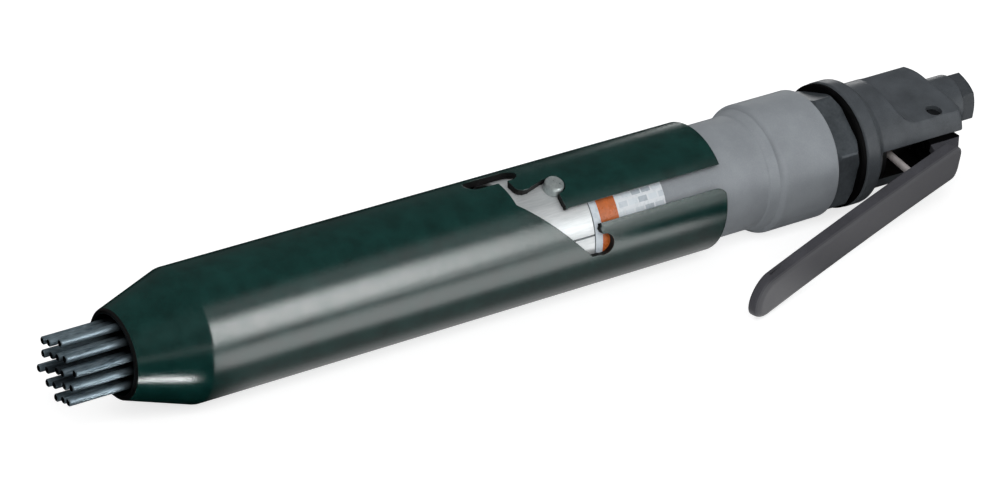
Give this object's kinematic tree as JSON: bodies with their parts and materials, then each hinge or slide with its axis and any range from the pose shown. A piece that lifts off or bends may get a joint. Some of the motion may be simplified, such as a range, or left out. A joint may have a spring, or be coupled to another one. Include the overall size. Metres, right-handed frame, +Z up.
{
  "type": "needle scaler",
  "caption": "Straight air needle scaler: slotted nose tube with a needle bundle, bayonet latch, steel barrel and throttle body with a long press lever.",
  "frame": {"origin": "middle of the tool's box in X and Y, on the bench the tool lies on", "axes": "+X along the tool towards the air inlet, +Z up from the bench; the throttle lever lies towards -Y"},
  "size_m": [0.4201, 0.0979, 0.0512],
  "materials": {
    "tube_steel": "dark green-black burnished steel tube, oiled, semi-gloss",
    "barrel_steel": "turned and bead-blasted steel, satin mid grey",
    "sleeve_steel": "bright rolled spring steel sheet",
    "lug_steel": "bright turned steel pin, slightly worn",
    "needle_steel": "blued hardened steel wire, ground tips",
    "spring_steel": "oil-tempered spring wire",
    "tool_steel": "hardened and ground steel",
    "bronze": "oiled bearing bronze",
    "lock_steel": "blackened machined steel, gloss on the turned faces",
    "body_finish": "dark grey blackened casting, fine satin",
    "lever_finish": "pressed steel, dark grey satin",
    "pin_steel": "blackened steel pin",
    "plunger_steel": "polished stainless steel rod",
    "inlet_steel": "blackened hexagon steel bar",
    "screen_brass": "perforated brass cup",
    "seal_rubber": "black nitrile rubber, matte"
  },
  "bodies": {
    "tool_body": {"barrel": "barrel_steel", "anvil_bumper": "seal_rubber", "anvil_bushing": "bronze", "latch_sleeve": "sleeve_steel", "latch_lug": "lug_steel", "valve_cage": "tool_steel", "valve_cap": "tool_steel", "valve_dowel": "tool_steel", "lock_ring": "lock_steel", "body_seal": "seal_rubber", "throttle_body": "body_finish", "lever_pin": "pin_steel", "valve_seat": "bronze", "plunger_seal": "seal_rubber", "valve_spring": "spring_steel", "inlet_bushing": "inlet_steel", "inlet_seal": "seal_rubber", "inlet_screen": "screen_brass"},
    "nose_guide": {"spring_seat": "tool_steel", "needle_spring": "spring_steel"},
    "nose": {"nose_tube": "tube_steel"},
    "holder": {"needle_holder": "tool_steel"},
    "needle_set": {"needle_01": "needle_steel", "needle_02": "needle_steel", "needle_03": "needle_steel", "needle_04": "needle_steel", "needle_05": "needle_steel", "needle_06": "needle_steel", "needle_07": "needle_steel", "needle_08": "needle_steel", "needle_09": "needle_steel", "needle_10": "needle_steel", "needle_11": "needle_steel", "needle_12": "needle_steel", "needle_13": "needle_steel", "needle_14": "needle_steel", "needle_15": "needle_steel", "needle_16": "needle_steel", "needle_17": "needle_steel", "needle_18": "needle_steel", "needle_19": "needle_steel"},
    "striker": {"anvil": "tool_steel"},
    "hammer": {"piston": "tool_steel"},
    "air_valve": {"valve_disc": "spring_steel"},
    "lever": {"throttle_lever": "lever_finish"},
    "throttle_stem": {"throttle_valve": "seal_rubber", "valve_plunger": "plunger_steel"}
  },
  "joints": [
    {"name": "lever_press", "type": "hinge", "parent": "tool_body", "child": "lever", "pos_m": [0.1783, 0.0113, 0.0226], "axis": [0, 0.2325, -0.9726], "range_deg": [0, 12], "stiffness_Nm_per_rad": 2, "springref_deg": -8.59, "deforming": ["valve_spring"]},
    {"name": "valve_lift", "type": "slide", "parent": "tool_body", "child": "throttle_stem", "axis": [0, 0.9726, 0.2325], "range_m": [0, 0.0055]},
    {"name": "hammer_stroke", "type": "slide", "parent": "tool_body", "child": "hammer", "axis": [1, 0, 0], "range_m": [0, 0.034]},
    {"name": "disc_lift", "type": "slide", "parent": "tool_body", "child": "air_valve", "axis": [1, 0, 0], "range_m": [0, 0.0008]},
    {"name": "holder_drive", "type": "slide", "parent": "tool_body", "child": "holder", "axis": [-1, 0, 0], "range_m": [0, 0.005], "stiffness_N_per_m": 1500, "springref_m": -0.012},
    {"name": "needle_play", "type": "slide", "parent": "holder", "child": "needle_set", "axis": [1, 0, 0], "range_m": [0, 0.0015]},
    {"name": "striker_drive", "type": "slide", "parent": "tool_body", "child": "striker", "axis": [-1, 0, 0], "range_m": [0, 0.003]},
    {"name": "nose_slide", "type": "slide", "parent": "tool_body", "child": "nose_guide", "axis": [1, 0, 0], "range_m": [0, 0.009], "stiffness_N_per_m": 1500, "springref_m": -0.012, "deforming": ["needle_spring"]},
    {"name": "nose_turn", "type": "hinge", "parent": "nose_guide", "child": "nose", "pos_m": [-0.0164, 0.02385, 0.0256], "axis": [1, 0, 0], "range_deg": [-6, 0]}
  ],
  "couplings": [
    {"joint": "valve_lift", "follows": "lever_press", "m_per_rad": 0.0257},
    {"joint": "disc_lift", "follows": "hammer_stroke", "ratio": 0.0235},
    {"joint": "striker_drive", "follows": "holder_drive", "ratio": 0.6},
    {"joint": "nose_turn", "follows": "nose_slide", "rad_per_m": -11.6}
  ]
}
